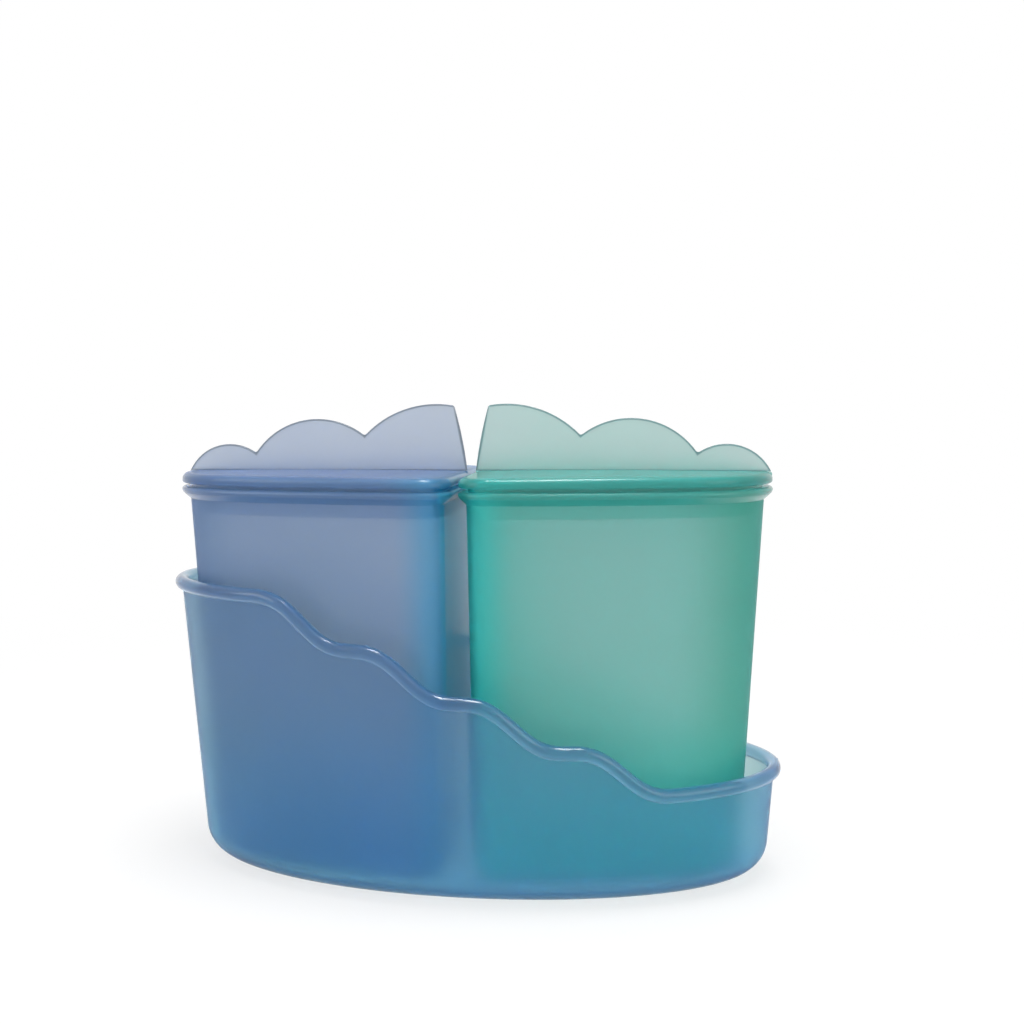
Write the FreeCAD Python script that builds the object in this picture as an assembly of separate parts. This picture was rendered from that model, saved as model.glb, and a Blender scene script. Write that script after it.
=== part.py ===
import FreeCAD, Part
import math
import os

os.makedirs("parts", exist_ok=True)

# Lengths are in millimetres and angles in degrees. The origin is the middle of the whole object's
# width and depth on the surface that it stands on. X runs along the tray from its high end to its
# low end, Y to the back and Z up.

# The pair of canisters, measured on the outside of their walls as these would reach the tray's
# floor without rounding. They stand loose in the tray, a little towards its high end, the left one
# further than the right one.
pair_shift = -1.7
left_set_apart = 1.0
canister_foot_half_width = 86.0
canister_foot_half_depth = 33.04
mouth_height = 125.6
canister_wall = 1.6
canister_floor = 1.8
canister_draft_angle = 2.97
split_draft_angle = 0.45
split_corner_radius = 6.75
canister_foot_radius = 6.2

# The radius of the canisters' far ends, where the walls would reach the tray's floor, as a share of
# the half depth times the root of the half depth over the half width
canister_end_share = 1.143

# The tray that both canisters stand in, an oval that widens upwards. Its room is how much further
# out its wall would meet the standing surface than the canisters' walls meet its floor.
tray_end_room = 6.5
tray_side_room = 7.16
tray_draft_angle = 4.16
tray_wall = 1.6
tray_floor = 1.8
tray_recess_depth = 2.2
tray_foot_band = 3.5
tray_recess_edge_radius = 0.8
tray_corner_radius = 11.4
tray_inner_corner_radius = 5.2
tray_low_height = 36.7
tray_high_height = 95.0

# The wavy rim, which steps down from the tray's high end to its low end, with a level stretch at
# each end that is measured from where the wall would meet the standing surface
rim_level_stretch = 29.1
wave_step_count = 4
wave_points_per_step = 6
bead_radius = 2.15
bead_overhang = 2.1
bead_section_count = 96

# The flange and the lip round each canister's mouth
flange_overhang = 2.4
flange_height = 3.9
flange_nose_radius = 1.15
flange_gap = 1.05
lip_width = 1.0

# The lids, whose rims stand out over the flanges and whose plugs reach down into the mouths
lid_overhang = 2.25
lid_split_gap = 1.0
lid_height = 3.2
lid_crown = 0.4
lid_plate = 1.6
lid_shoulder_radius = 2.2
lid_edge_radius = 0.7
plug_clearance = 0.3
plug_wall = 1.3
plug_depth = 9.1
plug_edge_radius = 0.5

# The upright cloud on each lid: three lobes, each rising above the lid's shoulder, counted from
# the split. Their places from the split plane, their radii and their rises are shares of the
# mouth's half width.
cloud_thickness = 1.3
cloud_root = 1.2
cloud_edge_radius = 0.45
lobe_place_shares = [0.1181, 0.5471, 0.8721]
lobe_radius_shares = [0.3564, 0.2752, 0.1657]
lobe_rise_shares = [0.2329, 0.182, 0.0932]
cloud_valley_radius = 1.0
cloud_inner_foot = 0.8
cloud_inner_top = 5.1
cloud_inner_bow = 0.5
cloud_corner_radius = 1.2

# Cutting shapes run past what they cut by this much
overrun = 1.0

# What follows from these sizes
tray_floor_top = tray_recess_depth + tray_floor
tray_base_half_width = canister_foot_half_width + tray_end_room
tray_base_half_depth = canister_foot_half_depth + tray_side_room
wave_half_length = tray_base_half_width - rim_level_stretch
wave_pitch = wave_half_length * 2 / wave_step_count
rim_middle_height = (tray_high_height + tray_low_height) / 2
wave_step_drop = (tray_high_height - tray_low_height) / wave_step_count
tray_draft = math.tan(math.radians(tray_draft_angle))
tray_middle = (tray_high_height - tray_low_height) * tray_draft / 2
canister_draft = math.tan(math.radians(canister_draft_angle))
mouth_spread = (mouth_height - tray_floor_top) * canister_draft
mouth_half_width = canister_foot_half_width + mouth_spread
mouth_half_depth = canister_foot_half_depth + mouth_spread
canister_foot_slimness = math.sqrt(canister_foot_half_depth / canister_foot_half_width)
canister_foot_end_radius = canister_end_share * canister_foot_half_depth * canister_foot_slimness
mouth_end_radius = canister_foot_end_radius + mouth_spread
split_draft = math.tan(math.radians(split_draft_angle))
split_places = {-1: tray_middle + pair_shift - left_set_apart, 1: tray_middle + pair_shift}
split_wall_inset = lid_split_gap / 2 + lid_overhang
lid_top = mouth_height + lid_height
up_z = FreeCAD.Vector(0, 0, 1)


def point(x, y, z):
    """Returns a point."""
    return FreeCAD.Vector(x, y, z)


def straight(start, end):
    """Returns a straight edge."""
    return Part.LineSegment(start, end).toShape()


def curved(start, through, end):
    """Returns an edge along the arc through three points."""
    return Part.Arc(start, through, end).toShape()


def upright_block(wire, height):
    """Returns the block that stands on a flat wire."""
    return Part.Face(wire).extrude(up_z * height)


def edges_at(body, height):
    """Returns the edges of a body that lie at one height."""
    band = overrun / 2
    return [edge for edge in body.Edges if height - band < edge.BoundBox.ZMin
            and edge.BoundBox.ZMax < height + band]


def write(body, name):
    """Writes one piece to its own file and prints its size."""
    if len(body.Solids) != 1 or not body.isValid():
        raise ValueError(f"{name}: {len(body.Solids)} solids, valid {body.isValid()}")
    piece = body.Solids[0]
    piece.exportStep(f"parts/{name}.step")
    box = piece.optimalBoundingBox(True, False)
    print(f"{name}: {piece.Volume:.0f} mm3, {box.XLength:.2f} x {box.YLength:.2f} x {box.ZLength:.2f} mm,"
          f" from z {box.ZMin:.2f} to {box.ZMax:.2f}")


# The tray's oval at any height

def tray_half_width(z, inset):
    """Returns half the tray's width at a height, less an inset."""
    return tray_base_half_width + z * tray_draft - inset


def tray_half_depth(z, inset):
    """Returns half the tray's depth at a height, less an inset."""
    return tray_base_half_depth + z * tray_draft - inset


def tray_oval(z, inset):
    """Returns the tray's oval at a height, less an inset, in four quarters."""
    oval = Part.Ellipse(point(tray_middle, 0, z), tray_half_width(z, inset), tray_half_depth(z, inset))
    quarter = math.tau / 4
    return Part.Wire([oval.toShape(i * quarter, (i + 1) * quarter) for i in range(4)])


def tub(foot, inset, foot_radius):
    """Returns a solid that has the tray's leaning wall and a rounded foot."""
    head = tray_high_height + overrun
    body = Part.makeLoft([tray_oval(foot, inset), tray_oval(head, inset)], True, True)
    return body.makeFillet(foot_radius, edges_at(body, foot))


# The wavy rim

def rim_height(x):
    """Returns the height of the rim's top, which falls by one even step per pitch."""
    reach = max(-wave_half_length, min(wave_half_length, x - tray_middle))
    turn = math.tau * reach / wave_pitch
    return rim_middle_height - wave_step_drop * (turn - math.sin(turn)) / math.tau


def below_the_wave():
    """Returns the block under the line of the bead's middle, from front to back.

    The line's points run one step past the wave at each end, where the rim is level.
    """
    side = tray_half_width(tray_high_height, 0) + overrun
    depth = tray_half_depth(tray_high_height, 0) + overrun
    count = wave_step_count * wave_points_per_step
    step = 2 * wave_half_length / count
    places = [tray_middle - wave_half_length + step * i for i in range(-1, count + 2)]
    wave_points = [point(x, -depth, rim_height(x) - bead_radius) for x in places]
    wave = Part.BSplineCurve()
    wave.interpolate(wave_points)
    high_end = point(tray_middle - side, -depth, wave_points[0].z)
    low_end = point(tray_middle + side, -depth, wave_points[-1].z)
    high_foot = point(tray_middle - side, -depth, -overrun)
    low_foot = point(tray_middle + side, -depth, -overrun)
    edges = [
        straight(high_foot, high_end),
        straight(high_end, wave_points[0]),
        wave.toShape(),
        straight(wave_points[-1], low_end),
        straight(low_end, low_foot),
        straight(low_foot, high_foot),
    ]
    return Part.Face(Part.Wire(edges)).extrude(point(0, 2 * depth, 0))


def bead_middle(turn):
    """Returns the middle of the bead's section at an angle round the oval."""
    inset = bead_radius - bead_overhang
    z = rim_middle_height
    for _ in range(bead_section_count):
        x = tray_middle + tray_half_width(z, inset) * math.cos(turn)
        z = (z + rim_height(x) - bead_radius) / 2
    return point(x, tray_half_depth(z, inset) * math.sin(turn), z)


def bead_section(turn, small_turn):
    """Returns a round section of the bead in three arcs, square to the way that the bead runs there."""
    middle = bead_middle(turn)
    along = bead_middle(turn + small_turn) - bead_middle(turn - small_turn)
    outward = along.cross(up_z).normalize() * bead_radius
    upward = outward.cross(along).normalize() * bead_radius
    sixth = math.tau / 6
    spots = [middle + outward * math.cos(i * sixth) + upward * math.sin(i * sixth) for i in range(1, 8)]
    return Part.Wire([curved(*spots[i:i + 3]) for i in (0, 2, 4)])


def rim_bead():
    """Returns the round bead that runs along the top of the tray's wall."""
    turn_step = math.tau / bead_section_count
    sections = [bead_section(i * turn_step, turn_step / 4) for i in range(bead_section_count)]
    return Part.makeLoft(sections, True, False, True)


def underside_recess():
    """Returns the shallow recess under the floor, inside the band that the tray stands on."""
    outline = tray_oval(-overrun, tray_corner_radius + tray_foot_band)
    block = upright_block(outline, tray_recess_depth + overrun)
    return block.makeFillet(tray_recess_edge_radius, edges_at(block, tray_recess_depth))


def make_tray():
    """Returns the tray with its wavy rim and bead."""
    outside = tub(0, 0, tray_corner_radius)
    inside = tub(tray_floor_top, tray_wall, tray_inner_corner_radius)
    shell = outside.common(below_the_wave()).cut(inside).cut(underside_recess())
    return shell.fuse(rim_bead()).removeSplitter()


# The rounded half oval of one canister and its lid, seen from above

class HalfOval:
    """A half oval with a straight side at the split.

    The side is -1 for the left piece and 1 for the right one. Its arcs meet without corners. The
    offset moves the curved sides outwards, and the split inset is the straight side's distance
    from the split plane.
    """

    def __init__(self, side, offset, split_inset, corner_radius):
        self.side = side
        self.width = mouth_half_width + offset
        self.depth = mouth_half_depth + offset
        self.end_radius = mouth_end_radius + offset
        self.split_inset = split_inset
        self.corner_radius = corner_radius

    def place(self, spot, z):
        """Returns the point at a distance from the split plane and a depth, at a height."""
        return point(split_places[self.side] + self.side * spot[0], spot[1], z)

    def arc(self, centre, radius, start, end, z):
        """Returns the short arc about a centre between two of the outline's spots."""
        half_x = (start[0] + end[0]) / 2 - centre[0]
        half_y = (start[1] + end[1]) / 2 - centre[1]
        stretch = radius / math.hypot(half_x, half_y)
        through = (centre[0] + half_x * stretch, centre[1] + half_y * stretch)
        return curved(self.place(start, z), self.place(through, z), self.place(end, z))

    def edges(self, z):
        """Returns the outline's edges at a height, begun at the middle of its straight side."""
        end_radius = self.end_radius
        corner = self.corner_radius
        half_sum = self.width ** 2 + self.depth ** 2 - 2 * self.width * end_radius
        front_radius = half_sum / (2 * (self.depth - end_radius))
        front_centre = (0, front_radius - self.depth)
        back_centre = (0, self.depth - front_radius)
        end_centre = (self.width - end_radius, 0)
        corner_x = self.split_inset + corner
        corner_y = front_centre[1] - math.sqrt((front_radius - corner) ** 2 - corner_x ** 2)
        front_corner = (corner_x, corner_y)
        back_corner = (corner_x, -corner_y)
        side_middle = (self.split_inset, 0)
        side_front = (self.split_inset, corner_y)
        side_back = (self.split_inset, -corner_y)
        corner_stretch = front_radius / (front_radius - corner)
        front_start_y = front_centre[1] + (corner_y - front_centre[1]) * corner_stretch
        front_start = (corner_x * corner_stretch, front_start_y)
        back_start = (front_start[0], -front_start[1])
        end_stretch = end_radius / (front_radius - end_radius)
        front_end = (end_centre[0] * (1 + end_stretch), -front_centre[1] * end_stretch)
        back_end = (front_end[0], -front_end[1])
        return [
            straight(self.place(side_middle, z), self.place(side_front, z)),
            self.arc(front_corner, corner, side_front, front_start, z),
            self.arc(front_centre, front_radius, front_start, front_end, z),
            self.arc(end_centre, end_radius, front_end, back_end, z),
            self.arc(back_centre, front_radius, back_end, back_start, z),
            self.arc(back_corner, corner, back_start, side_back, z),
            straight(self.place(side_back, z), self.place(side_middle, z)),
        ]

    def wire(self, z):
        """Returns the outline at a height, as one closed wire."""
        return Part.Wire(self.edges(z))


def mouth_outline(side, offset):
    """Returns the outline of the wall at the mouth, offset alike on all its sides."""
    return HalfOval(side, offset, split_wall_inset - offset, split_corner_radius + offset)


def wall_outline(side, z, inset):
    """Returns the outline of the leaning wall at a height, less an inset."""
    drop = mouth_height - z
    offset = -drop * canister_draft - inset
    split_inset = split_wall_inset + drop * split_draft + inset
    return HalfOval(side, offset, split_inset, split_corner_radius - inset)


def wall_block(side, foot, head, inset):
    """Returns the solid inside the leaning wall between two heights."""
    lower = wall_outline(side, foot, inset).wire(foot)
    upper = wall_outline(side, head, inset).wire(head)
    return Part.makeLoft([lower, upper], True, True)


# The canisters

def flange_profile(side):
    """Returns the flange's section at the middle of the split side."""
    top = mouth_height - flange_gap
    root = -canister_wall / 2
    nose = flange_overhang - flange_nose_radius
    nose_height = top - flange_nose_radius
    slant = flange_nose_radius * math.sqrt(0.5)

    def place(out, z):
        return point(split_places[side] + side * (split_wall_inset - out), 0, z)

    tip = place(flange_overhang, nose_height)
    under_nose = place(nose + slant, nose_height - slant)
    over_nose = place(nose + slant, nose_height + slant)
    return Part.Wire([
        straight(place(root, top), place(nose, top)),
        curved(place(nose, top), over_nose, tip),
        straight(tip, under_nose),
        straight(under_nose, place(0, top - flange_height)),
        straight(place(0, top - flange_height), place(root, top - flange_height)),
        straight(place(root, top - flange_height), place(root, top)),
    ])


def flange(side):
    """Returns the flange, its section carried once round the mouth."""
    path = mouth_outline(side, 0).wire(0)
    return path.makePipeShell([flange_profile(side)], True, False)


def lip_trim(side):
    """Returns what is cut away round the thin lip that the lid rests on."""
    foot = mouth_height - flange_gap
    around = upright_block(mouth_outline(side, flange_overhang + overrun).wire(foot), flange_gap + overrun)
    lip = upright_block(mouth_outline(side, lip_width - canister_wall).wire(foot), flange_gap + overrun)
    return around.cut(lip)


def make_canister(side):
    """Returns one canister: leaning walls, rounded foot, flange and lip."""
    foot = tray_floor_top
    inner_foot = foot + canister_floor
    inner_radius = canister_foot_radius - canister_wall
    outside = wall_block(side, foot, mouth_height, 0)
    outside = outside.makeFillet(canister_foot_radius, edges_at(outside, foot))
    inside = wall_block(side, inner_foot, mouth_height + overrun, canister_wall)
    inside = inside.makeFillet(inner_radius, edges_at(inside, inner_foot))
    return outside.fuse(flange(side)).cut(inside).cut(lip_trim(side)).removeSplitter()


# The lids

class Lobe:
    """One round lobe of the cloud, by its middle in the plane of the cloud and its radius."""

    def __init__(self, place, rise, radius):
        self.x = place
        self.z = lid_top + rise - radius
        self.radius = radius

    def height_at(self, x):
        """Returns the height of the lobe's upper edge at a distance from the split plane."""
        return self.z + math.sqrt(self.radius ** 2 - (x - self.x) ** 2)

    def outer_end(self, z):
        """Returns the lobe's furthest distance from the split plane at a height."""
        return self.x + math.sqrt(self.radius ** 2 - (z - self.z) ** 2)

    def meeting(self, other):
        """Returns the spot of the valley between this lobe and the next one out."""
        run = other.x - self.x
        fall = other.z - self.z
        gap = math.hypot(run, fall)
        along = (gap ** 2 + self.radius ** 2 - other.radius ** 2) / (2 * gap)
        across = math.sqrt(self.radius ** 2 - along ** 2)
        x = self.x + (along * run - across * fall) / gap
        z = self.z + (along * fall + across * run) / gap
        return (x, z)

    def crest(self, start, end):
        """Returns the spot halfway round the lobe's edge between two spots on it."""
        first = math.atan2(start[1] - self.z, start[0] - self.x)
        last = math.atan2(end[1] - self.z, end[0] - self.x)
        middle = (first + last) / 2
        return (self.x + self.radius * math.cos(middle), self.z + self.radius * math.sin(middle))


def cloud_blank(side, lobes, foot):
    """Returns the flat sheet of the cloud and the spots of its sharp corners."""
    inner_foot = (cloud_inner_foot, foot)
    inner_top = (cloud_inner_top, lobes[0].height_at(cloud_inner_top))
    inner_middle = ((inner_foot[0] + inner_top[0]) / 2 - cloud_inner_bow, (foot + inner_top[1]) / 2)
    valleys = [near.meeting(far) for near, far in zip(lobes, lobes[1:])]
    outer_foot = (lobes[-1].outer_end(foot), foot)
    turns = [inner_top] + valleys + [outer_foot]

    def place(spot):
        return point(split_places[side] + side * spot[0], -cloud_thickness / 2, spot[1])

    edges = [curved(place(inner_foot), place(inner_middle), place(inner_top))]
    for lobe, start, end in zip(lobes, turns, turns[1:]):
        edges.append(curved(place(start), place(lobe.crest(start, end)), place(end)))
    edges.append(straight(place(outer_foot), place(inner_foot)))
    sheet = Part.Face(Part.Wire(edges)).extrude(point(0, cloud_thickness, 0))
    return sheet, inner_top, valleys


def rounded_across(sheet, side, spot, radius):
    """Returns a sheet with the corner that runs through it at a spot rounded."""
    corner = point(split_places[side] + side * spot[0], 0, spot[1])
    close = [edge for edge in sheet.Edges if (edge.CenterOfMass - corner).Length < radius
             and edge.BoundBox.YLength > cloud_thickness / 2]
    return sheet.makeFillet(radius, close)


def make_cloud(side):
    """Returns the upright cloud of one lid, with soft edges."""
    foot = lid_top - cloud_root
    shares = zip(lobe_place_shares, lobe_rise_shares, lobe_radius_shares)
    lobes = [Lobe(*(share * mouth_half_width for share in lobe_shares)) for lobe_shares in shares]
    sheet, inner_top, valleys = cloud_blank(side, lobes, foot)
    sheet = rounded_across(sheet, side, inner_top, cloud_corner_radius)
    for valley in valleys:
        sheet = rounded_across(sheet, side, valley, cloud_valley_radius)
    outline = [edge for edge in sheet.Edges if edge.BoundBox.YLength < cloud_edge_radius
               and edge.BoundBox.ZMax > lid_top]
    sheet = sheet.makeFillet(cloud_edge_radius, outline)
    height = max(lobe_rise_shares) * mouth_half_width + cloud_root + overrun
    over_the_lid = upright_block(mouth_outline(side, lid_overhang).wire(foot), height)
    return sheet.common(over_the_lid)


def make_cap(side):
    """Returns the lid's plate and rim, crowned and rounded, still without its plug."""
    outline = mouth_outline(side, lid_overhang)
    half_length = outline.width / 2
    crown_radius = (half_length ** 2 + lid_crown ** 2) / (2 * lid_crown)
    crown_middle = point(split_places[side] + side * half_length, 0, lid_top + lid_crown - crown_radius)
    block = upright_block(outline.wire(mouth_height), lid_height + lid_crown + overrun)
    cap = block.common(Part.makeSphere(crown_radius, crown_middle))
    cap = cap.makeFillet(lid_shoulder_radius, edges_at(cap, lid_top))
    return cap.makeFillet(lid_edge_radius, edges_at(cap, mouth_height))


def make_lid(side):
    """Returns one lid: crowned plate, rim, hollow plug and cloud."""
    plug_foot = mouth_height - plug_depth
    plug_inset = canister_wall + plug_clearance
    plug = wall_block(side, plug_foot, mouth_height + lid_edge_radius, plug_inset)
    plug = plug.makeFillet(plug_edge_radius, edges_at(plug, plug_foot))
    hollow = wall_block(side, plug_foot - overrun, lid_top - lid_plate, plug_inset + plug_wall)
    return make_cap(side).fuse(plug).cut(hollow).fuse(make_cloud(side)).removeSplitter()


write(make_tray(), "caddy_tray")
for side, word in ((-1, "left"), (1, "right")):
    write(make_canister(side), f"{word}_canister")
    write(make_lid(side), f"{word}_lid")
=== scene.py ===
import logging
import math
from dataclasses import dataclass
from enum import Enum
from typing import Any, Iterable

import bpy
from mathutils import Matrix, Vector

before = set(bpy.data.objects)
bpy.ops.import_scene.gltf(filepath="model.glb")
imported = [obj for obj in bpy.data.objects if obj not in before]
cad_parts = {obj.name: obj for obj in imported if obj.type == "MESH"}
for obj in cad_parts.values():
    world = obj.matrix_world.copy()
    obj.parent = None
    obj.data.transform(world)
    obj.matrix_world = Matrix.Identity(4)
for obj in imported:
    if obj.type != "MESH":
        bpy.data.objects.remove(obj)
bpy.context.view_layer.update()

logging.basicConfig(level=logging.INFO, format="%(message)s")
LOG = logging.getLogger("spice_set")

Colour = tuple[float, float, float]
Place = tuple[float, float, float]
Span = tuple[float, float]

WHITE: Colour = (1.0, 1.0, 1.0)


class Signal:
    """A number that varies over a surface: one output socket, with arithmetic on it."""

    def __init__(self, bench: "NodeBench", socket: bpy.types.NodeSocket) -> None:
        """Wraps a socket.

        Args:
            bench: The bench that holds the socket's node.
            socket: The output socket to wrap.
        """
        self.bench = bench
        self.socket = socket

    def _combine(self, operation: str, first: Any, second: Any) -> "Signal":
        """Joins two values with one Math node.

        Args:
            operation: The Math node's operation.
            first: A signal or a number.
            second: A signal or a number.

        Returns:
            The signal of the result.
        """
        node = self.bench.add("ShaderNodeMath", {"operation": operation}, {0: first, 1: second})
        return Signal(self.bench, node.outputs[0])

    def __add__(self, other: Any) -> "Signal":
        """Returns the sum."""
        return self._combine("ADD", self, other)

    def __radd__(self, other: Any) -> "Signal":
        """Returns the sum, with the signal second."""
        return self._combine("ADD", other, self)

    def __sub__(self, other: Any) -> "Signal":
        """Returns the difference."""
        return self._combine("SUBTRACT", self, other)

    def __rsub__(self, other: Any) -> "Signal":
        """Returns the difference, with the signal second."""
        return self._combine("SUBTRACT", other, self)

    def __mul__(self, other: Any) -> "Signal":
        """Returns the product."""
        return self._combine("MULTIPLY", self, other)

    def __rmul__(self, other: Any) -> "Signal":
        """Returns the product, with the signal second."""
        return self._combine("MULTIPLY", other, self)

    def __pow__(self, other: Any) -> "Signal":
        """Returns the signal raised to a power."""
        return self._combine("POWER", self, other)

    def at_least(self, other: Any) -> "Signal":
        """Returns the larger of two values."""
        return self._combine("MAXIMUM", self, other)

    def at_most(self, other: Any) -> "Signal":
        """Returns the smaller of two values."""
        return self._combine("MINIMUM", self, other)

    def sine(self) -> "Signal":
        """Returns the sine of an angle in radians."""
        return self._combine("SINE", self, 0.0)

    def ramp(self, start: float, end: float) -> "Signal":
        """Rises smoothly from 0 to 1 as the signal goes from a start to an end.

        Args:
            start: The value that gives 0.
            end: The value that gives 1.

        Returns:
            The signal of the ramp, from 0 to 1.
        """
        settings = {"interpolation_type": "SMOOTHSTEP"}
        inputs = {"Value": self, "From Min": start, "From Max": end}
        node = self.bench.add("ShaderNodeMapRange", settings, inputs)
        return Signal(self.bench, node.outputs["Result"])


class NodeBench:
    """Where the nodes of one material or world are put together."""

    def __init__(self, tree: bpy.types.NodeTree) -> None:
        """Clears a node tree to build in.

        Args:
            tree: The tree of a material or a world.
        """
        self.tree = tree
        tree.nodes.clear()

    def add(
        self, kind: str, settings: dict[str, Any], inputs: dict[str | int, Any]
    ) -> bpy.types.Node:
        """Adds one node.

        Args:
            kind: The node's type.
            settings: Its settings, set before its sockets.
            inputs: Values, signals or sockets by the name or place of the input.

        Returns:
            The node.
        """
        node = self.tree.nodes.new(kind)
        for name, value in settings.items():
            setattr(node, name, value)
        for name, value in inputs.items():
            target = node.inputs[name]
            if isinstance(value, Signal):
                self.tree.links.new(value.socket, target)
            elif isinstance(value, bpy.types.NodeSocket):
                self.tree.links.new(value, target)
            else:
                target.default_value = value
        return node

    def position(self) -> bpy.types.NodeSocket:
        """Returns the place on the object, in metres, which moves with the piece."""
        return self.add("ShaderNodeTexCoord", {}, {}).outputs["Object"]

    def axes(self, place: bpy.types.NodeSocket) -> tuple[Signal, Signal, Signal]:
        """Returns the three coordinates of a place as signals."""
        node = self.add("ShaderNodeSeparateXYZ", {}, {"Vector": place})
        return tuple(Signal(self, output) for output in node.outputs[:3])

    def noise(
        self, place: bpy.types.NodeSocket, scale: float, detail: float, stretch: float
    ) -> Signal:
        """Makes a soft random pattern.

        Args:
            place: The place that the pattern reads.
            scale: How many features there are to a metre.
            detail: How many finer layers are added.
            stretch: How much closer the features lie along Z than across it.

        Returns:
            The signal of the pattern, about 0 to 1.
        """
        inputs = {"Vector": place, "Scale": (1.0, 1.0, stretch)}
        mapped = self.add("ShaderNodeMapping", {}, inputs).outputs["Vector"]
        inputs = {"Vector": mapped, "Scale": scale, "Detail": detail}
        return Signal(self, self.add("ShaderNodeTexNoise", {}, inputs).outputs[0])

    def blend(self, share: Signal, first: Any, second: Any) -> bpy.types.NodeSocket:
        """Mixes two colours.

        Args:
            share: How much of the second colour there is.
            first: A colour or a colour socket.
            second: A colour or a colour socket.

        Returns:
            The socket of the mixed colour.
        """
        node = self.add("ShaderNodeMix", {"data_type": "RGBA"}, {0: share, 6: first, 7: second})
        return node.outputs[2]

    def seen(self) -> Signal:
        """Returns 1 for rays that look, mirror or pass through to here, and 0 for the light's."""
        rays = self.add("ShaderNodeLightPath", {}, {})
        looking = Signal(self, rays.outputs["Is Camera Ray"])
        mirrored = Signal(self, rays.outputs["Is Glossy Ray"])
        passing = Signal(self, rays.outputs["Is Transmission Ray"])
        return looking.at_least(mirrored).at_least(passing)


def rgba(colour: Colour) -> tuple[float, float, float, float]:
    """Returns a colour with full cover."""
    return (*colour, 1.0)


class Side(Enum):
    """Which of the two canisters a piece belongs to."""

    LEFT = "left"
    RIGHT = "right"

    @property
    def out(self) -> float:
        """Returns the way along X that leads out from the middle."""
        return -1.0 if self is Side.LEFT else 1.0

    @property
    def split(self) -> float:
        """Returns how far out from the frame's middle this side's half begins."""
        return 0.00058 if self is Side.LEFT else 0.00042


class Zone(Enum):
    """A place on a piece where the plastic has a tone of its own: painted shade, painted light and
    painted highlight lines, and on the rim and flat side also polish.
    """

    # Painted shade on the rim, which is also polished
    RIM_POLISH_AND_SHADE = "rim"
    # Painted shade towards the foot
    FOOT_SHADE = "foot"
    # Painted shade in the corner by the split
    SPLIT_SHADE = "corner"
    # Painted shade at the far end, where the wall turns away
    FAR_END_SHADE = "far end"
    # Painted light on the flat side by the split, which is also polished
    FLAT_SIDE_POLISH_AND_LIGHT = "flat side"
    # Painted light on the lid's plug
    PLUG_LIGHT = "plug"
    # Painted highlight line along the tray's bead
    PAINTED_HIGHLIGHT_LINE = "pale line"
    # Painted shade line on the tray's bead and round the lid's cloud, with painted shadow along
    # the cloud's root
    PAINTED_SHADE_LINE = "dark line"


class Shading:
    """Where on a piece each painted tone of light and shade and each polish of its plastic shows,
    from 0 to 1.
    """

    gloss: float
    rim_gloss: float

    def zones(self, bench: NodeBench, place: bpy.types.NodeSocket) -> dict[Zone, Signal]:
        """Returns how far each zone reaches, in the order in which their tones are laid on."""
        raise NotImplementedError

    def smooth(self, zones: dict[Zone, Signal]) -> Signal:
        """Works out where the mould was polished.

        Args:
            zones: How far each zone reaches.

        Returns:
            The signal of the polish, full on the rim and the flat side.
        """
        rim = zones[Zone.RIM_POLISH_AND_SHADE]
        flat = zones.get(Zone.FLAT_SIDE_POLISH_AND_LIGHT)
        return rim if flat is None else rim.at_least(flat)

    def shine(self, zones: dict[Zone, Signal]) -> Signal:
        """Works out how strongly the surface shines.

        Args:
            zones: How far each zone reaches.

        Returns:
            The signal of the shine, most on the rim and none on the flat side.
        """
        walls = zones[Zone.RIM_POLISH_AND_SHADE] * (self.rim_gloss - self.gloss) + self.gloss
        flat = zones.get(Zone.FLAT_SIDE_POLISH_AND_LIGHT)
        return walls if flat is None else walls * (1.0 - flat)


@dataclass(frozen=True)
class TrayShading(Shading):
    """The tray has painted shade towards its foot and on the smooth bead along its wavy rim, with
    a painted shade line and a painted highlight line on the bead.
    """

    gloss: float = 0.35
    rim_gloss: float = 0.9
    foot_shade_ends: Span = (0.0, 0.075)
    middle: float = 0.00212
    wave_half_length: float = 0.0634
    wave_pitch: float = 0.0317
    rim_middle_height: float = 0.06585
    wave_step_drop: float = 0.014575
    # How far below the rim's top the bead, its painted shade line and its painted highlight line
    # reach
    bead_end: Span = (0.0045, 0.0051)
    painted_shade_band: Span = (0.0005, 0.0022)
    painted_shade_band_share: float = 0.42
    painted_highlight_band: Span = (0.0035, 0.0041)
    line_softness: float = 0.0004

    def below_rim(self, bench: NodeBench, place: bpy.types.NodeSocket) -> Signal:
        """Measures how far below the wavy rim's top a place is.

        Args:
            bench: The bench to build on.
            place: The place on the piece.

        Returns:
            The signal of the distance in metres.
        """
        x, _, height = bench.axes(place)
        half = self.wave_half_length
        reach = (x - self.middle).at_least(-half).at_most(half)
        turn = reach * (math.tau / self.wave_pitch)
        fall = (turn - turn.sine()) * (self.wave_step_drop / math.tau)
        return self.rim_middle_height - fall - height

    def band(self, signal: Signal, ends: Span) -> Signal:
        """Draws a soft band where a signal is between two values.

        Args:
            signal: The signal.
            ends: The two values.

        Returns:
            The signal of the band.
        """
        start, end = ends
        rise = signal.ramp(start - self.line_softness, start + self.line_softness)
        return rise * (1.0 - signal.ramp(end - self.line_softness, end + self.line_softness))

    def zones(self, bench: NodeBench, place: bpy.types.NodeSocket) -> dict[Zone, Signal]:
        """Marks the bead's painted shade with its painted shade and highlight lines, and the
        painted shade at the foot.

        Args:
            bench: The bench to build on.
            place: The place on the piece.

        Returns:
            How far each zone reaches.
        """
        height = bench.axes(place)[2]
        below = self.below_rim(bench, place)
        return {
            Zone.RIM_POLISH_AND_SHADE: 1.0 - below.ramp(*self.bead_end),
            Zone.FOOT_SHADE: 1.0 - height.ramp(*self.foot_shade_ends),
            Zone.PAINTED_HIGHLIGHT_LINE: self.band(below, self.painted_highlight_band),
            Zone.PAINTED_SHADE_LINE: self.band(below, self.painted_shade_band) * self.painted_shade_band_share,
        }


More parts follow.
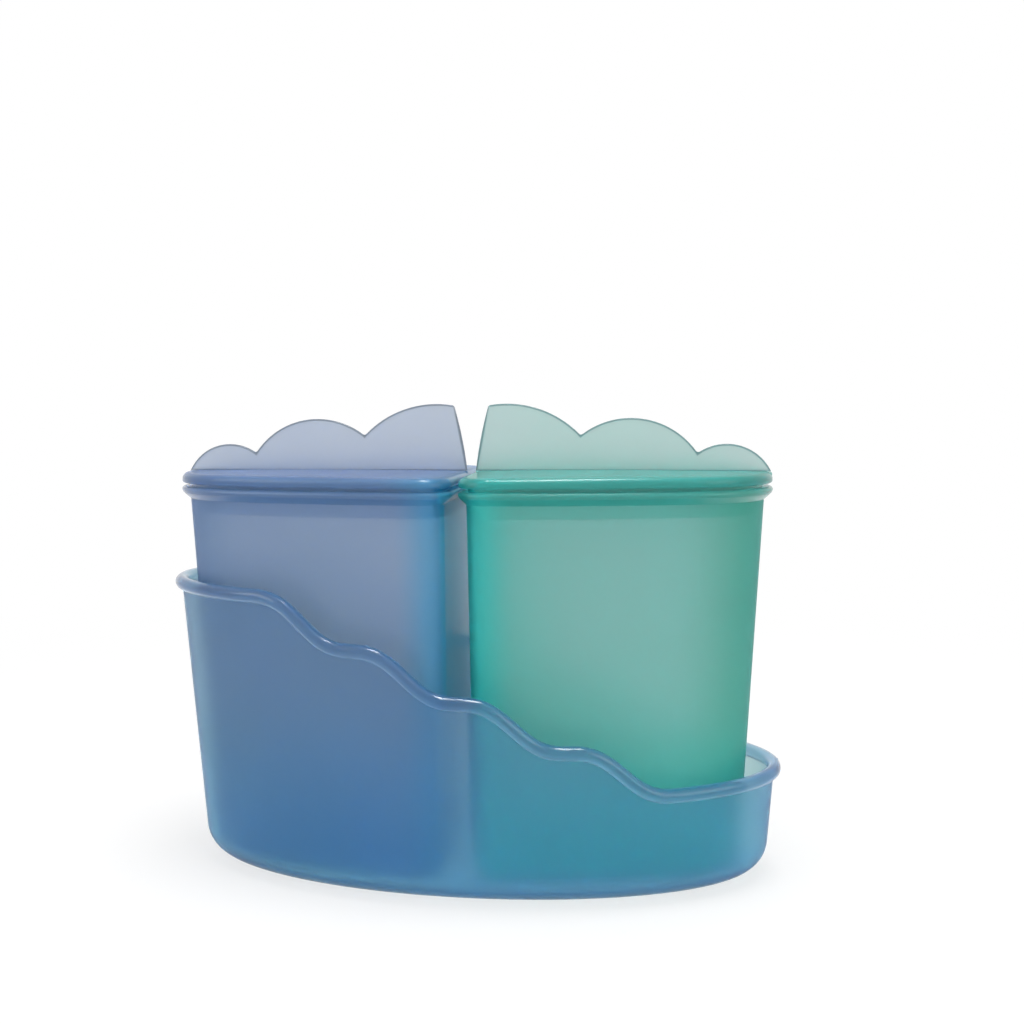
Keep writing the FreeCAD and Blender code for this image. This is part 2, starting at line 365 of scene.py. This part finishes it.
@dataclass(frozen=True)
class CanisterShading(Shading):
    """A canister has painted shade on its flange, towards its foot, at its far end and in the
    corner by the split, and painted light on its flat side; its flange and flat side are smooth.
    """

    side: Side
    gloss: float = 0.15
    rim_gloss: float = 0.6
    # The first two are heights, the others distances from the split
    foot_shade_ends: Span = (0.005, 0.060)
    flange_foot: Span = (0.1203, 0.1209)
    split_shade_span: Span = (0.005, 0.018)
    far_end_shade: Span = (0.062, 0.090)
    flat_side_polish_and_light: Span = (0.0028, 0.0045)

    def zones(self, bench: NodeBench, place: bpy.types.NodeSocket) -> dict[Zone, Signal]:
        """Marks the painted shade on the flange, at the foot and at the two ends, and the painted
        light on the flat side by the split.

        Args:
            bench: The bench to build on.
            place: The place on the piece.

        Returns:
            How far each zone reaches.
        """
        x, _, height = bench.axes(place)
        run = x * self.side.out - self.side.split
        return {
            Zone.RIM_POLISH_AND_SHADE: height.ramp(*self.flange_foot),
            Zone.FAR_END_SHADE: run.ramp(*self.far_end_shade),
            Zone.FOOT_SHADE: 1.0 - height.ramp(*self.foot_shade_ends),
            Zone.SPLIT_SHADE: 1.0 - run.ramp(*self.split_shade_span),
            Zone.FLAT_SIDE_POLISH_AND_LIGHT: 1.0 - run.ramp(*self.flat_side_polish_and_light),
        }


@dataclass(frozen=True)
class LidShading(Shading):
    """A lid has painted shade on its rim and beside the split, painted light on its plug, a
    painted shade line round its cloud and a painted shadow along its root.
    """

    side: Side
    gloss: float = 0.45
    rim_gloss: float = 0.45
    top: float = 0.1288
    rim_foot: Span = (0.1240, 0.1244)
    rim_top: Span = (0.1282, 0.1287)
    split_shade_top: Span = (0.1278, 0.1293)
    split_shade_span: Span = (0.004, 0.022)
    # Each lobe's distance from the split, the height of its middle, and its radius
    lobes: tuple[tuple[float, float, float], ...] = (
        (0.010902, 0.1174, 0.032899),
        (0.050503, 0.120196, 0.025404),
        (0.080504, 0.122107, 0.015296),
    )
    inner_foot: float = 0.0008
    inner_slope: float = 0.19
    # Spans of the painted shade line round the cloud, of the painted shadow along its root, and of
    # where both show
    edge_shade_ends: Span = (0.00033, 0.00077)
    root_shadow_ends: Span = (0.1291, 0.1295)
    root_shadow_share: float = 0.7
    above_ends: Span = (0.1288, 0.1290)
    thickness_ends: Span = (0.00075, 0.00105)

    def painted_edge_shade(self, run: Signal, y: Signal, height: Signal) -> Signal:
        """Draws the painted shade line round the cloud and the painted shadow along its root.

        Args:
            run: How far out from the split the place is.
            y: How far back it is.
            height: How high it is.

        Returns:
            The signal of the painted shade.
        """
        inside = run - self.inner_foot - (height - self.top) * self.inner_slope
        lobes = None
        for middle, level, radius in self.lobes:
            across, up = run - middle, height - level
            within = radius - (across * across + up * up) ** 0.5
            lobes = within if lobes is None else lobes.at_least(within)
        edge = 1.0 - lobes.at_most(inside).ramp(*self.edge_shade_ends)
        root = (1.0 - height.ramp(*self.root_shadow_ends)) * self.root_shadow_share
        on_sheet = 1.0 - y.at_least(0.0 - y).ramp(*self.thickness_ends)
        return edge.at_least(root) * height.ramp(*self.above_ends) * on_sheet

    def zones(self, bench: NodeBench, place: bpy.types.NodeSocket) -> dict[Zone, Signal]:
        """Marks the painted shade on the rim and in the corner by the split, the painted light on
        the plug, and the painted shade on the cloud's edge.

        Args:
            bench: The bench to build on.
            place: The place on the piece.

        Returns:
            How far each zone reaches.
        """
        x, y, height = bench.axes(place)
        run = x * self.side.out - self.side.split
        corner = 1.0 - run.ramp(*self.split_shade_span)
        return {
            Zone.RIM_POLISH_AND_SHADE: height.ramp(*self.rim_foot) * (1.0 - height.ramp(*self.rim_top)),
            Zone.SPLIT_SHADE: corner * (1.0 - height.ramp(*self.split_shade_top)),
            Zone.PLUG_LIGHT: 1.0 - height.ramp(*self.rim_foot),
            Zone.PAINTED_SHADE_LINE: self.painted_edge_shade(run, y, height),
        }


@dataclass(frozen=True)
class Tone:
    """One tone of a plastic: the tint of the light that it passes and of what it scatters back."""

    passes: Colour
    returns: Colour


@dataclass(frozen=True)
class FrostedPlastic:
    """Moulded translucent plastic with a fine matt grain.

    Light takes one tint where it passes a face and another where the plastic scatters it back, and
    the depth of the plastic takes some more, so thick edges and walls seen along their length are
    deeper in colour. The grain is rubbed smoother in faint patches by handling.
    """

    name: str
    plain: Tone
    tones: dict[Zone, Tone]
    # How strongly the plastic takes away red, green and blue light along its depth, per metre
    absorbs: Colour
    density_margin: float = 1.05
    pattern_ends: Span = (0.3, 0.7)
    milkiness: float = 0.30
    milk_swing: float = 0.04
    clouds_per_metre: float = 14.0
    cloud_detail: float = 2.0
    cloud_stretch: float = 0.6
    painted_highlight_milk: float = 0.12
    roughness: float = 0.74
    roughness_swing: float = 0.10
    rubs_per_metre: float = 38.0
    rub_detail: float = 4.0
    index: float = 1.20
    sheen_level: float = 0.4
    smooth_roughness: float = 0.29
    gloss_roughness: float = 0.15
    grain_per_metre: float = 2600.0
    grain_detail: float = 2.0
    grain_depth: float = 0.00004
    grain_strength: float = 0.25
    flow_per_metre: float = 26.0
    flow_detail: float = 1.0
    flow_stretch: float = 0.5
    flow_depth: float = 0.0004
    flow_strength: float = 0.35

    def depth_colour(self) -> tuple[Colour, float]:
        """Works out the plastic's colour in depth.

        Returns:
            The colour and the density that take light away as strongly as stated.
        """
        density = max(self.absorbs) * self.density_margin
        return tuple(1.0 - value / density for value in self.absorbs), density

    def relief(self, bench: NodeBench, place: bpy.types.NodeSocket) -> bpy.types.NodeSocket:
        """Makes the slow waves of the moulding and the fine grain of the mould's skin.

        Args:
            bench: The bench to build on.
            place: The place on the piece.

        Returns:
            The socket of the bumped normal.
        """
        waves = bench.add("ShaderNodeBump", {}, {
            "Strength": self.flow_strength,
            "Distance": self.flow_depth,
            "Height": bench.noise(place, self.flow_per_metre, self.flow_detail, self.flow_stretch),
        })
        skin = bench.add("ShaderNodeBump", {}, {
            "Strength": self.grain_strength,
            "Distance": self.grain_depth,
            "Height": bench.noise(place, self.grain_per_metre, self.grain_detail, 1.0),
            "Normal": waves.outputs["Normal"],
        })
        return skin.outputs["Normal"]

    def make(self, piece: str, shading: Shading) -> bpy.types.Material:
        """Builds the material of one piece.

        Args:
            piece: The piece's name.
            shading: Where on the piece each tone shows.

        Returns:
            The finished material.
        """
        material = bpy.data.materials.new(f"{piece}_{self.name}")
        material.use_nodes = True
        bench = NodeBench(material.node_tree)
        place = bench.position()
        zones = shading.zones(bench, place)
        passes, returns = rgba(self.plain.passes), rgba(self.plain.returns)
        # The zones' tones lay painted shade, painted light and painted highlight lines over the
        # plain tone
        for zone, share in zones.items():
            if zone in self.tones:
                passes = bench.blend(share, passes, rgba(self.tones[zone].passes))
                returns = bench.blend(share, returns, rgba(self.tones[zone].returns))
        clouds = bench.noise(place, self.clouds_per_metre, self.cloud_detail, self.cloud_stretch)
        rubs = bench.noise(place, self.rubs_per_metre, self.rub_detail, 1.0)
        rubbed = rubs.ramp(*self.pattern_ends)
        matt = rubbed * self.roughness_swing + (self.roughness - self.roughness_swing / 2)
        smooth = shading.smooth(zones)
        skin = {
            "Roughness": matt * (1.0 - smooth) + smooth * self.smooth_roughness,
            "IOR": self.index,
            "Specular IOR Level": self.sheen_level,
            "Coat Weight": shading.shine(zones),
            "Coat Roughness": self.gloss_roughness,
            "Normal": self.relief(bench, place),
        }
        inputs = {"Base Color": passes, "Transmission Weight": 1.0, **skin}
        clear = bench.add("ShaderNodeBsdfPrincipled", {}, inputs)
        milky = bench.add("ShaderNodeBsdfPrincipled", {}, {"Base Color": returns, **skin})
        clouding = clouds.ramp(*self.pattern_ends)
        milkiness = clouding * self.milk_swing + (self.milkiness - self.milk_swing / 2)
        # The tray's bead is milkier along its painted highlight line
        if Zone.PAINTED_HIGHLIGHT_LINE in zones:
            milkiness = milkiness + zones[Zone.PAINTED_HIGHLIGHT_LINE] * self.painted_highlight_milk
        surface = bench.add("ShaderNodeMixShader", {}, {
            0: milkiness,
            1: clear.outputs["BSDF"],
            2: milky.outputs["BSDF"],
        })
        colour, density = self.depth_colour()
        inputs = {"Color": rgba(colour), "Density": density}
        body = bench.add("ShaderNodeVolumeAbsorption", {}, inputs)
        bench.add("ShaderNodeOutputMaterial", {}, {
            "Surface": surface.outputs["Shader"],
            "Volume": body.outputs["Volume"],
        })
        return material


@dataclass(frozen=True)
class StudioFloor:
    """The pale sweep that the set stands on, white to the eye away from the set's own shadow."""

    name: str = "pale_floor"
    tint: Colour = (0.86, 0.86, 0.86)
    roughness: float = 0.8
    near_white: float = 0.72
    near_radius: float = 0.16
    far_radius: float = 0.55

    def make(self) -> bpy.types.Material:
        """Builds the material.

        Returns:
            The finished material.
        """
        material = bpy.data.materials.new(self.name)
        material.use_nodes = True
        bench = NodeBench(material.node_tree)
        x, y, _ = bench.axes(bench.position())
        radius = (x * x + y * y) ** 0.5
        away = radius.ramp(self.near_radius, self.far_radius)
        whiteness = self.near_white + away * (1 - self.near_white)
        inputs = {"Base Color": rgba(self.tint), "Roughness": self.roughness}
        paper = bench.add("ShaderNodeBsdfPrincipled", {}, inputs)
        inputs = {"Color": rgba(WHITE), "Strength": 1.0}
        white = bench.add("ShaderNodeEmission", {}, inputs)
        mixed = bench.add("ShaderNodeMixShader", {}, {
            0: bench.seen() * whiteness,
            1: paper.outputs["BSDF"],
            2: white.outputs["Emission"],
        })
        bench.add("ShaderNodeOutputMaterial", {}, {"Surface": mixed.outputs["Shader"]})
        return material


# In each plastic, the zone tones are painted shade, painted light and painted highlight lines over
# the plain tone
LAVENDER = FrostedPlastic(
    name="lavender_frosted_plastic",
    plain=Tone(passes=(1.0, 0.92, 0.78), returns=(0.29, 0.43, 0.75)),
    tones={
        Zone.RIM_POLISH_AND_SHADE: Tone(passes=(0.84, 0.84, 0.78), returns=(0.20, 0.37, 0.68)),
        Zone.FOOT_SHADE: Tone(passes=(0.84, 0.80, 0.80), returns=(0.18, 0.40, 0.80)),
        Zone.SPLIT_SHADE: Tone(passes=(0.68, 0.83, 0.83), returns=(0.10, 0.48, 0.81)),
        Zone.FAR_END_SHADE: Tone(passes=(0.97, 0.87, 0.74), returns=(0.26, 0.42, 0.72)),
        Zone.FLAT_SIDE_POLISH_AND_LIGHT: Tone(passes=(0.48, 1.0, 1.0), returns=(0.12, 0.70, 1.0)),
        Zone.PLUG_LIGHT: Tone(passes=(1.0, 0.97, 0.86), returns=(0.37, 0.50, 0.79)),
        Zone.PAINTED_SHADE_LINE: Tone(passes=(0.50, 0.52, 0.52), returns=(0.06, 0.10, 0.20)),
    },
    absorbs=(225.0, 140.0, 60.0),
)
AQUA = FrostedPlastic(
    name="aqua_frosted_plastic",
    plain=Tone(passes=(1.0, 0.68, 0.72), returns=(0.20, 0.89, 0.70)),
    tones={
        Zone.RIM_POLISH_AND_SHADE: Tone(passes=(0.64, 0.63, 0.61), returns=(0.08, 0.75, 0.61)),
        Zone.FOOT_SHADE: Tone(passes=(0.60, 0.86, 0.81), returns=(0.06, 0.92, 0.77)),
        Zone.SPLIT_SHADE: Tone(passes=(0.68, 0.87, 0.85), returns=(0.07, 0.94, 0.82)),
        Zone.FAR_END_SHADE: Tone(passes=(0.78, 0.62, 0.60), returns=(0.12, 0.80, 0.58)),
        Zone.FLAT_SIDE_POLISH_AND_LIGHT: Tone(passes=(0.64, 0.90, 0.88), returns=(0.08, 0.94, 0.84)),
        Zone.PLUG_LIGHT: Tone(passes=(1.0, 0.84, 0.86), returns=(0.36, 0.93, 0.77)),
        Zone.PAINTED_SHADE_LINE: Tone(passes=(0.40, 0.46, 0.48), returns=(0.03, 0.20, 0.18)),
    },
    absorbs=(300.0, 60.0, 45.0),
    milkiness=0.22,
)
TRAY_BLUE = FrostedPlastic(
    name="blue_frosted_plastic",
    plain=Tone(passes=(0.96, 0.94, 0.82), returns=(0.13, 0.31, 0.84)),
    tones={
        Zone.RIM_POLISH_AND_SHADE: Tone(passes=(0.80, 0.88, 0.82), returns=(0.10, 0.30, 0.82)),
        Zone.FOOT_SHADE: Tone(passes=(0.76, 0.95, 0.85), returns=(0.07, 0.35, 0.92)),
        # Painted highlight line along the bead
        Zone.PAINTED_HIGHLIGHT_LINE: Tone(passes=(0.97, 0.98, 0.90), returns=(0.40, 0.62, 0.92)),
        # Painted shade line along the bead
        Zone.PAINTED_SHADE_LINE: Tone(passes=(0.55, 0.62, 0.66), returns=(0.06, 0.14, 0.30)),
    },
    absorbs=(170.0, 90.0, 45.0),
    milkiness=0.13,
)


@dataclass
class MouldedPiece:
    """One moulding of the set, which keeps the frame's own solid and gets its finish."""

    node: str
    finish: FrostedPlastic
    shading: Shading

    def dress(self) -> None:
        """Puts the finish on the material slots of the frame's solid."""
        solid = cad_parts[self.node]
        material = self.finish.make(self.node, self.shading)
        if not solid.material_slots:
            solid.data.materials.append(None)
        for slot in solid.material_slots:
            slot.material = material
        LOG.info("%s: %s on %d slots", self.node, material.name, len(solid.material_slots))


@dataclass
class CanisterSet:
    """One canister with the lid that closes it."""

    side: Side
    finish: FrostedPlastic

    def pieces(self) -> Iterable[MouldedPiece]:
        """Returns the canister and its lid."""
        word = self.side.value
        return (
            MouldedPiece(f"{word}_canister", self.finish, CanisterShading(self.side)),
            MouldedPiece(f"{word}_lid", self.finish, LidShading(self.side)),
        )

    def dress(self) -> None:
        """Gives both pieces the same plastic."""
        for piece in self.pieces():
            piece.dress()


@dataclass
class Tray:
    """The oval tray that both canisters stand in."""

    finish: FrostedPlastic

    def dress(self) -> None:
        """Gives the tray its plastic."""
        MouldedPiece("caddy_tray", self.finish, TrayShading()).dress()


@dataclass(frozen=True)
class Softbox:
    """One soft square lamp, turned to a place on the set."""

    name: str
    place: Place
    aim: Place
    size: float
    power: float

    def hang(self) -> None:
        """Makes the lamp and hangs it."""
        lamp = bpy.data.lights.new(self.name, "AREA")
        lamp.shape = "SQUARE"
        lamp.size = self.size
        lamp.energy = self.power
        holder = bpy.data.objects.new(self.name, lamp)
        holder.location = self.place
        facing = Vector(self.aim) - Vector(self.place)
        holder.rotation_euler = facing.to_track_quat("-Z", "Y").to_euler()
        bpy.context.scene.collection.objects.link(holder)


@dataclass
class Studio:
    """The floor, the white surroundings and the soft lamps."""

    floor_half: float = 6.0
    floor_drop: float = 0.0002
    ambient: float = 0.55
    lamps: tuple[Softbox, ...] = (
        Softbox("overhead_softbox", (0.10, -0.10, 1.25), (0.0, 0.0, 0.05), 0.45, 10.5),
        Softbox("left_softbox", (-1.15, -0.75, 0.75), (0.0, 0.0, 0.08), 0.9, 5.0),
        Softbox("right_softbox", (1.15, -0.65, 0.65), (0.0, 0.0, 0.08), 0.9, 4.0),
    )

    def lay_floor(self) -> None:
        """Lays the floor just under the set."""
        half = self.floor_half
        turns = ((-1, -1), (1, -1), (1, 1), (-1, 1))
        corners = [(x * half, y * half, 0.0) for x, y in turns]
        mesh = bpy.data.meshes.new("studio_floor")
        mesh.from_pydata(corners, [], [(0, 1, 2, 3)])
        mesh.materials.append(StudioFloor().make())
        floor = bpy.data.objects.new("studio_floor", mesh)
        floor.location = (0.0, 0.0, -self.floor_drop)
        bpy.context.scene.collection.objects.link(floor)

    def whiten_surroundings(self) -> None:
        """Makes the surroundings white to look at and a plain soft light on the set."""
        world = bpy.data.worlds.new("white_surroundings")
        bpy.context.scene.world = world
        world.use_nodes = True
        bench = NodeBench(world.node_tree)
        strength = self.ambient + bench.seen() * (1.0 - self.ambient)
        inputs = {"Color": rgba(WHITE), "Strength": strength}
        sky = bench.add("ShaderNodeBackground", {}, inputs)
        bench.add("ShaderNodeOutputWorld", {}, {"Surface": sky.outputs["Background"]})

    def build(self) -> None:
        """Sets up the whole studio."""
        self.lay_floor()
        self.whiten_surroundings()
        for lamp in self.lamps:
            lamp.hang()
        LOG.info("studio: floor, surroundings and %d lamps", len(self.lamps))


@dataclass
class Viewpoint:
    """The camera, a little to the right of the set's middle and above its lids."""

    place: Place = (0.05343, -0.35173, 0.14824)
    turn: float = 0.122746
    dip: float = 0.092342
    roll: float = -0.004423
    lens: float = 38.67
    sensor: float = 36.0
    shift_x: float = 0.00884
    nearest: float = 0.01

    def build(self) -> None:
        """Makes the camera and looks through it."""
        data = bpy.data.cameras.new("photo_view")
        data.lens = self.lens
        data.sensor_width = self.sensor
        data.shift_x = self.shift_x
        data.clip_start = self.nearest
        camera = bpy.data.objects.new("photo_view", data)
        turned = Matrix.Rotation(self.turn, 4, "Z")
        dipped = Matrix.Rotation(math.pi / 2 - self.dip, 4, "X")
        rolled = Matrix.Rotation(self.roll, 4, "Z")
        camera.matrix_world = Matrix.Translation(self.place) @ turned @ dipped @ rolled
        bpy.context.scene.collection.objects.link(camera)
        bpy.context.scene.camera = camera
        LOG.info("camera at %s", self.place)


def let_light_through_all_walls(faces_crossed: int = 32) -> None:
    """Lets a ray cross every wall of the set, two faces to a wall, and keeps the colours plain.

    Args:
        faces_crossed: How many faces a ray may cross before it ends.
    """
    scene = bpy.context.scene
    scene.cycles.max_bounces = faces_crossed
    scene.cycles.transmission_bounces = faces_crossed
    scene.view_settings.view_transform = "Standard"


def main() -> None:
    """Builds the scene around the frame."""
    Viewpoint().build()
    Studio().build()
    Tray(TRAY_BLUE).dress()
    CanisterSet(Side.LEFT, LAVENDER).dress()
    CanisterSet(Side.RIGHT, AQUA).dress()
    let_light_through_all_walls()


if __name__ == "__main__":
    main()
